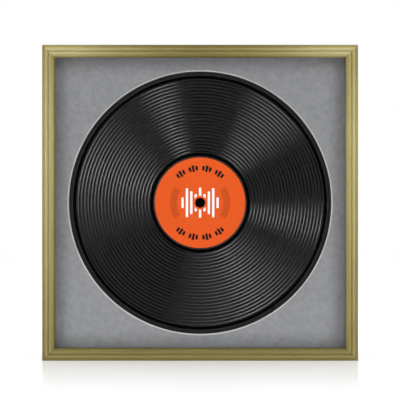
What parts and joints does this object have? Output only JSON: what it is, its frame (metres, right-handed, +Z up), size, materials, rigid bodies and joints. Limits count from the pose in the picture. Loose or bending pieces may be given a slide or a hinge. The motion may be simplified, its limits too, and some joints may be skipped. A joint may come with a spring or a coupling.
{
  "type": "vinyl record frame",
  "caption": "Square reeded gold wall frame with glass and a round grey mount showing a black record with an orange label; turn-button back and ring hangers.",
  "frame": {"origin": "centre of the whole object's box, at the height of the bottom edge that it stands on", "axes": "+Z up, -Y out of the picture side towards the viewer, +Y towards the wall, +X to the viewer's right"},
  "size_m": [0.36, 0.023, 0.36],
  "materials": {
    "gold_moulding": "satin",
    "clear_glass": "gloss",
    "grey_board": "matte",
    "black_vinyl": "gloss",
    "orange_paper": "satin",
    "white_board": "matte",
    "black_board": "matte",
    "brown_hardboard": "matte",
    "zinc_steel": "satin",
    "nickel_steel": "satin",
    "brass_plate": "satin",
    "clear_rubber": "satin"
  },
  "bodies": {
    "root": {"rail_bottom": "gold_moulding", "rail_left": "gold_moulding", "rail_top": "gold_moulding", "rail_right": "gold_moulding", "corner_wedge_bottom_left": "zinc_steel", "corner_wedge_left_top": "zinc_steel", "corner_wedge_top_right": "zinc_steel", "corner_wedge_right_bottom": "zinc_steel", "glass_sheet": "clear_glass", "mount_board": "grey_board", "record_disc": "black_vinyl", "record_label_front": "orange_paper", "record_label_back": "orange_paper", "record_spacer": "white_board", "back_mount": "black_board", "backing_board": "brown_hardboard", "button_screw_bottom_1": "zinc_steel", "button_screw_bottom_2": "zinc_steel", "button_screw_left_1": "zinc_steel", "button_screw_left_2": "zinc_steel", "button_screw_top_1": "zinc_steel", "button_screw_top_2": "zinc_steel", "button_screw_right_1": "zinc_steel", "button_screw_right_2": "zinc_steel", "hanger_strap_left": "nickel_steel", "hanger_strap_right": "nickel_steel", "hanger_screw_left": "zinc_steel", "hanger_screw_right": "zinc_steel", "wall_bumper_left": "clear_rubber", "wall_bumper_right": "clear_rubber"},
    "turn_button_bottom_1": {"turn_button_bottom_1": "brass_plate"},
    "turn_button_bottom_2": {"turn_button_bottom_2": "brass_plate"},
    "turn_button_left_1": {"turn_button_left_1": "brass_plate"},
    "turn_button_left_2": {"turn_button_left_2": "brass_plate"},
    "turn_button_top_1": {"turn_button_top_1": "brass_plate"},
    "turn_button_top_2": {"turn_button_top_2": "brass_plate"},
    "turn_button_right_1": {"turn_button_right_1": "brass_plate"},
    "turn_button_right_2": {"turn_button_right_2": "brass_plate"},
    "hanger_ring_left": {"hanger_ring_left": "nickel_steel"},
    "hanger_ring_right": {"hanger_ring_right": "nickel_steel"}
  },
  "joints": [
    {"name": "turn_button_bottom_1_turn", "type": "hinge", "parent": "root", "child": "turn_button_bottom_1", "pos_m": [-0.1008, 0.0081, 0.0048], "axis": [0, 1, 0], "range_deg": [-90, 90]},
    {"name": "turn_button_bottom_2_turn", "type": "hinge", "parent": "root", "child": "turn_button_bottom_2", "pos_m": [0.1008, 0.0081, 0.0048], "axis": [0, 1, 0], "range_deg": [-90, 90]},
    {"name": "turn_button_left_1_turn", "type": "hinge", "parent": "root", "child": "turn_button_left_1", "pos_m": [-0.1752, 0.0081, 0.2808], "axis": [0, 1, 0], "range_deg": [-90, 90]},
    {"name": "turn_button_left_2_turn", "type": "hinge", "parent": "root", "child": "turn_button_left_2", "pos_m": [-0.1752, 0.0081, 0.0792], "axis": [0, 1, 0], "range_deg": [-90, 90]},
    {"name": "turn_button_top_1_turn", "type": "hinge", "parent": "root", "child": "turn_button_top_1", "pos_m": [0.1008, 0.0081, 0.3552], "axis": [0, 1, 0], "range_deg": [-90, 90]},
    {"name": "turn_button_top_2_turn", "type": "hinge", "parent": "root", "child": "turn_button_top_2", "pos_m": [-0.1008, 0.0081, 0.3552], "axis": [0, 1, 0], "range_deg": [-90, 90]},
    {"name": "turn_button_right_1_turn", "type": "hinge", "parent": "root", "child": "turn_button_right_1", "pos_m": [0.1752, 0.0081, 0.0792], "axis": [0, 1, 0], "range_deg": [-90, 90]},
    {"name": "turn_button_right_2_turn", "type": "hinge", "parent": "root", "child": "turn_button_right_2", "pos_m": [0.1752, 0.0081, 0.2808], "axis": [0, 1, 0], "range_deg": [-90, 90]},
    {"name": "hanger_ring_left_swing", "type": "hinge", "parent": "root", "child": "hanger_ring_left", "pos_m": [-0.1743, 0.0095, 0.2448], "axis": [1, 0, 0], "range_deg": [0, 180]},
    {"name": "hanger_ring_right_swing", "type": "hinge", "parent": "root", "child": "hanger_ring_right", "pos_m": [0.1743, 0.0095, 0.2448], "axis": [1, 0, 0], "range_deg": [0, 180]}
  ]
}
